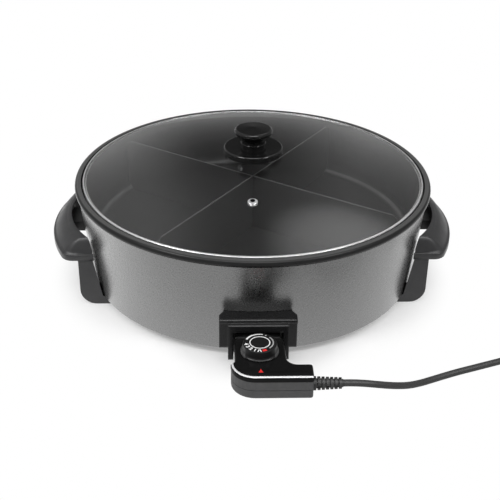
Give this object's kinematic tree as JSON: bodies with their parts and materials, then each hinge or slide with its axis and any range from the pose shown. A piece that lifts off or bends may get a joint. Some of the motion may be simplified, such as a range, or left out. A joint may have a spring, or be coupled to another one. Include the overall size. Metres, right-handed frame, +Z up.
{
  "type": "electric grill pan",
  "caption": "Round electric grill pan with a lift-off domed glass lid, crossed divider plates, hooded side handles on legs and a plug-in thermostat control with mains lead.",
  "frame": {"origin": "on the table, at the middle of the object's plan without its free lead", "axes": "+Z up, -Y towards the control and the user, +X to the user's right, where the lead leaves"},
  "size_m": [0.6436, 0.499, 0.1845],
  "materials": {
    "pan_coat": "pressed aluminium with a dark non-stick coating",
    "divider_coat": "sheet aluminium with a dark non-stick coating",
    "jacket_grey": "grey hammered paint on sheet steel",
    "sheet_steel": "plain zinc-plated sheet",
    "cast_aluminium": "as cast",
    "element_steel": "heat-darkened tube",
    "terminal_steel": "bright plated",
    "ceramic_white": "unglazed ceramic",
    "handle_black": "fine moulded grain",
    "screw_steel": "zinc plated",
    "lid_clear": "clear tempered glass",
    "lid_steel": "polished stainless steel",
    "knob_black": "polished moulding",
    "cover_black": "polished moulding",
    "shell_grey": "fine moulded grain",
    "contact_brass": "plain",
    "dial_black": "satin moulding with printed marks",
    "lead_black": "matte sheath",
    "plug_black": "moulded",
    "plug_nickel": "nickel plated"
  },
  "bodies": {
    "base": {"pan": "pan_coat", "outer_jacket": "jacket_grey", "base_plate": "sheet_steel", "heat_spreader": "cast_aluminium", "heating_element": "element_steel", "terminal_pins": "terminal_steel", "terminal_bushes": "ceramic_white", "probe_block": "cast_aluminium", "socket_guard": "handle_black", "guard_screws": "screw_steel", "left_handle": "handle_black", "right_handle": "handle_black", "handle_screws": "screw_steel", "foot_screws": "screw_steel", "foot_nuts": "screw_steel", "divider_long": "divider_coat", "divider_cross": "divider_coat"},
    "lid": {"lid_glass": "lid_clear", "lid_band": "lid_steel", "vent_eyelet": "lid_steel", "knob_disc": "knob_black", "lid_knob": "knob_black", "knob_screw": "screw_steel", "knob_washer": "sheet_steel"},
    "control": {"control_cover": "cover_black", "control_upper_shell": "shell_grey", "control_lower_shell": "shell_grey", "control_screws": "screw_steel", "probe_rod": "terminal_steel", "socket_contacts": "contact_brass", "thermostat_frame": "sheet_steel", "contact_leaves": "contact_brass", "ceramic_posts": "ceramic_white", "strain_relief": "lead_black", "mains_cord": "lead_black", "cord_coil": "lead_black", "coil_tie": "lead_black", "plug_tail": "lead_black", "plug_body": "plug_black", "plug_pins": "plug_nickel"},
    "dial": {"temperature_dial": "dial_black", "dial_spindle": "contact_brass"}
  },
  "joints": [
    {"name": "lid_lift", "type": "slide", "parent": "base", "child": "lid", "axis": [0, 0, 1], "range_m": [0, 0.15]},
    {"name": "control_unplug", "type": "slide", "parent": "base", "child": "control", "axis": [0, -1, 0], "range_m": [0, 0.11]},
    {"name": "dial_turn", "type": "hinge", "parent": "control", "child": "dial", "pos_m": [0, -0.2065, 0.055], "axis": [0, 0, -1], "range_deg": [0, 270]}
  ]
}
